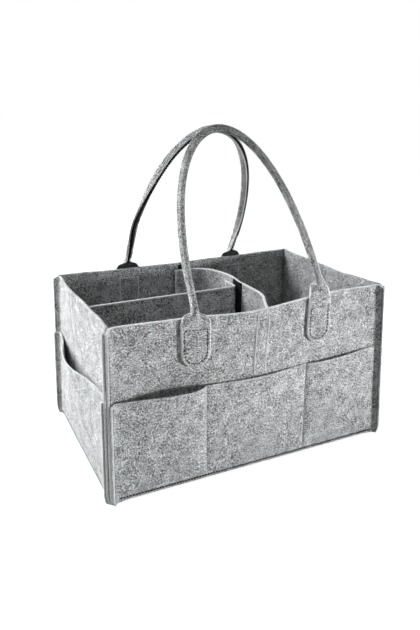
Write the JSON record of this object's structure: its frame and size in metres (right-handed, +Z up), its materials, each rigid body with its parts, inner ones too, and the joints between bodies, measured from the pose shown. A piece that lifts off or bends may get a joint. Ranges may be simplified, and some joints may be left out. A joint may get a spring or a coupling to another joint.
{
  "type": "felt diaper caddy",
  "caption": "Open felt caddy with sewn outside pockets, folded felt carrying handles that lean together over the rim, and removable felt dividers held by hook strips.",
  "frame": {"origin": "on the resting face under the middle of the footprint", "axes": "+Z up, -Y towards the front pockets, +X to the right of someone facing the front"},
  "size_m": [0.35, 0.2296, 0.3562],
  "materials": {
    "wall_felt": "heathered grey needle felt",
    "pocket_felt": "heathered grey needle felt, thinner",
    "handle_felt": "heathered grey needle felt, folded and sewn",
    "divider_felt": "heathered grey needle felt",
    "thread": "dark grey sewing thread",
    "hook_strip": "black woven hook tape"
  },
  "bodies": {
    "caddy": {"base_panel": "wall_felt", "front_panel": "wall_felt", "back_panel": "wall_felt", "left_end_panel": "wall_felt", "right_end_panel": "wall_felt", "front_pocket": "pocket_felt", "back_pocket": "pocket_felt", "left_pocket": "pocket_felt", "right_pocket": "pocket_felt", "front_left_tab": "handle_felt", "front_right_tab": "handle_felt", "back_left_tab": "handle_felt", "back_right_tab": "handle_felt", "front_hook_strip": "hook_strip", "back_hook_strip": "hook_strip", "left_hook_strip": "hook_strip", "front_left_tab_stitching": "thread", "front_right_tab_stitching": "thread", "back_left_tab_stitching": "thread", "back_right_tab_stitching": "thread", "front_left_pocket_seam": "thread", "front_right_pocket_seam": "thread", "back_left_pocket_seam": "thread", "back_right_pocket_seam": "thread", "front_foot_seam": "thread", "back_foot_seam": "thread", "left_foot_seam": "thread", "right_foot_seam": "thread"},
    "front_grip": {"front_handle": "handle_felt"},
    "back_grip": {"back_handle": "handle_felt"},
    "cross_insert": {"cross_divider": "divider_felt", "divider_hook_strip": "hook_strip"},
    "long_insert": {"long_divider": "divider_felt"}
  },
  "joints": [
    {"name": "front_handle_swing", "type": "hinge", "parent": "caddy", "child": "front_grip", "pos_m": [0, -0.10773, 0.191], "axis": [1, 0, 0], "range_deg": [0, 180]},
    {"name": "back_handle_swing", "type": "hinge", "parent": "caddy", "child": "back_grip", "pos_m": [0, 0.1014, 0.191], "axis": [-1, 0, 0], "range_deg": [0, 180]},
    {"name": "cross_divider_lift", "type": "slide", "parent": "caddy", "child": "cross_insert", "axis": [0, 0, 1], "range_m": [0, 0.14]},
    {"name": "long_divider_lift", "type": "slide", "parent": "caddy", "child": "long_insert", "axis": [0, 0, 1], "range_m": [0, 0.14]}
  ]
}
